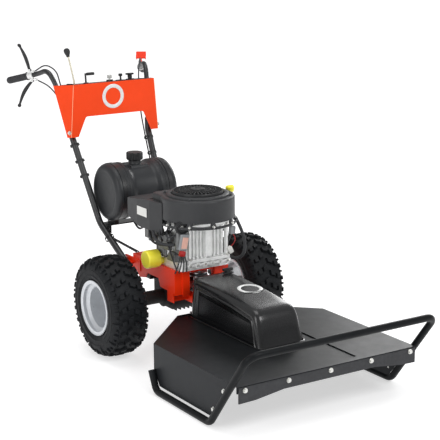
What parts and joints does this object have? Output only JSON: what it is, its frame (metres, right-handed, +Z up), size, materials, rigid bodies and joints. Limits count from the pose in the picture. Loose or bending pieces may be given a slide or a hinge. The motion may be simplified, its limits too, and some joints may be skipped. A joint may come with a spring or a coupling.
{
  "type": "brush mower",
  "caption": "Walk-behind brush mower: bumper-framed deck, belt hood, vertical-shaft V-twin engine, drum tank, lugged tyres, flared console and handlebars with levers.",
  "frame": {"origin": "on the ground under the middle of the whole machine's length and width", "axes": "+Z up, deck and bumper towards -Y, handlebars towards +Y, +X is the operator's left"},
  "size_m": [0.8486, 2.036, 1.1962],
  "materials": {
    "orange_paint": "semi-gloss powder coat",
    "red_orange_paint": "semi-gloss powder coat",
    "black_paint": "satin powder coat",
    "black_plastic": "matte",
    "charcoal_plastic": "fine grain",
    "orange_plastic": "satin",
    "rubber_black": "matte",
    "belt_rubber": "matte",
    "tyre_black": "matte",
    "rim_silver": "satin silver",
    "steel": "machined",
    "zinc_bolts": "zinc plated",
    "alloy": "die cast",
    "iron": "as cast",
    "yellow_filter": "semi-gloss"
  },
  "bodies": {
    "chassis": {"air_filter_cover": "charcoal_plastic", "battery": "black_plastic", "blower_housing": "charcoal_plastic", "cable_clips": "black_plastic", "carburettor": "alloy", "chassis_frame": "red_orange_paint", "console_shell": "orange_paint", "console_top": "black_plastic", "control_cables": "black_plastic", "cylinder_heads": "alloy", "dipstick": "yellow_filter", "drive_belt": "belt_rubber", "engine_block": "alloy", "engine_bolts": "zinc_bolts", "fuel_hose": "rubber_black", "fuel_tank": "black_plastic", "grips": "rubber_black", "handle_legs": "black_paint", "handlebars": "black_paint", "ignition_leads": "rubber_black", "lever_clamps": "alloy", "muffler": "steel", "oil_filter": "yellow_filter", "starter_motor": "steel", "tank_mount": "black_paint", "traction_belt": "belt_rubber", "transaxle_case": "alloy", "valve_covers": "alloy"},
    "right_wheel": {"right_tyre": "tyre_black", "right_rim": "rim_silver", "right_axle": "steel", "right_lug_nuts": "zinc_bolts"},
    "left_wheel": {"left_tyre": "tyre_black", "left_rim": "rim_silver", "left_axle": "steel", "left_lug_nuts": "zinc_bolts"},
    "crank": {"crankshaft": "steel", "flywheel": "alloy", "fan_screen": "charcoal_plastic", "engine_pulley": "steel"},
    "input_pulley": {"transaxle_pulley": "steel"},
    "deck": {"deck_shell": "black_paint", "deck_pivot_pin": "steel", "bumper_frame": "black_paint", "front_flap": "rubber_black", "belt_hood": "black_paint", "deck_bolts": "zinc_bolts", "spindle_housing": "iron"},
    "blade": {"spindle_shaft": "steel", "mower_blade": "steel", "deck_pulley": "steel"},
    "shift": {"shift_lever": "steel"},
    "wheel_lock": {"lock_lever": "black_plastic"},
    "blade_button": {"blade_switch": "black_plastic"},
    "key": {"ignition_key": "black_plastic"},
    "throttle": {"throttle_lever": "black_plastic"},
    "upper_lever": {"right_upper_lever": "black_paint"},
    "lower_lever": {"right_lower_lever": "black_paint"},
    "presence_lever": {"left_presence_lever": "orange_plastic"},
    "tank_cap": {"fuel_cap": "black_plastic"}
  },
  "joints": [
    {"name": "right_wheel_spin", "type": "hinge", "parent": "chassis", "child": "right_wheel", "pos_m": [-0.3285, 0.122, 0.207], "axis": [1, 0, 0], "continuous": true},
    {"name": "left_wheel_spin", "type": "hinge", "parent": "chassis", "child": "left_wheel", "pos_m": [0.3285, 0.122, 0.207], "axis": [1, 0, 0], "continuous": true},
    {"name": "crank_spin", "type": "hinge", "parent": "chassis", "child": "crank", "pos_m": [0, -0.028, 0.45], "axis": [0, 0, 1], "continuous": true},
    {"name": "input_pulley_spin", "type": "hinge", "parent": "chassis", "child": "input_pulley", "pos_m": [0, 0.192, 0.326], "axis": [0, 0, 1], "continuous": true},
    {"name": "deck_tilt", "type": "hinge", "parent": "chassis", "child": "deck", "pos_m": [0, -0.06, 0.212], "axis": [0, 1, 0], "range_deg": [-4, 4], "deforming": ["drive_belt"]},
    {"name": "blade_spin", "type": "hinge", "parent": "deck", "child": "blade", "pos_m": [0, -0.512, 0.15], "axis": [0, 0, 1], "continuous": true},
    {"name": "shift", "type": "hinge", "parent": "chassis", "child": "shift", "pos_m": [-0.178, 0.685, 0.934], "axis": [1, 0, 0], "range_deg": [-24, 0]},
    {"name": "wheel_lock_turn", "type": "hinge", "parent": "chassis", "child": "wheel_lock", "pos_m": [-0.121, 0.689, 1.0312], "axis": [0, 0.1104, 0.9939], "range_deg": [0, 90]},
    {"name": "blade_button_pull", "type": "slide", "parent": "chassis", "child": "blade_button", "axis": [0, 0.1104, 0.9939], "range_m": [0, 0.01]},
    {"name": "key_turn", "type": "hinge", "parent": "chassis", "child": "key", "pos_m": [0.01, 0.717, 1.0281], "axis": [0, 0.1104, 0.9939], "range_deg": [-60, 0]},
    {"name": "throttle_swing", "type": "hinge", "parent": "chassis", "child": "throttle", "pos_m": [0.062, 0.711, 1.001], "axis": [1, 0, 0], "range_deg": [-14, 14]},
    {"name": "upper_lever_squeeze", "type": "hinge", "parent": "chassis", "child": "upper_lever", "pos_m": [-0.28126, 0.91774, 1.07791], "axis": [0.831, 0.5563, 0], "range_deg": [-55, 0], "stiffness_Nm_per_rad": 0.6},
    {"name": "lower_lever_squeeze", "type": "hinge", "parent": "chassis", "child": "lower_lever", "pos_m": [-0.27424, 0.90724, 1.03099], "axis": [0.831, 0.5563, 0], "range_deg": [0, 26], "stiffness_Nm_per_rad": 0.6},
    {"name": "presence_lever_press", "type": "hinge", "parent": "chassis", "child": "presence_lever", "pos_m": [0.28126, 0.91774, 1.07791], "axis": [0.831, -0.5563, 0], "range_deg": [-26, 0], "stiffness_Nm_per_rad": 0.6},
    {"name": "fuel_cap_turn", "type": "hinge", "parent": "chassis", "child": "tank_cap", "pos_m": [0, 0.488, 0.72], "axis": [0, 0, 1], "range_deg": [0, 90]}
  ],
  "couplings": [
    {"joint": "blade_spin", "follows": "crank_spin", "ratio": 0.7686},
    {"joint": "input_pulley_spin", "follows": "crank_spin", "ratio": 0.44828}
  ]
}
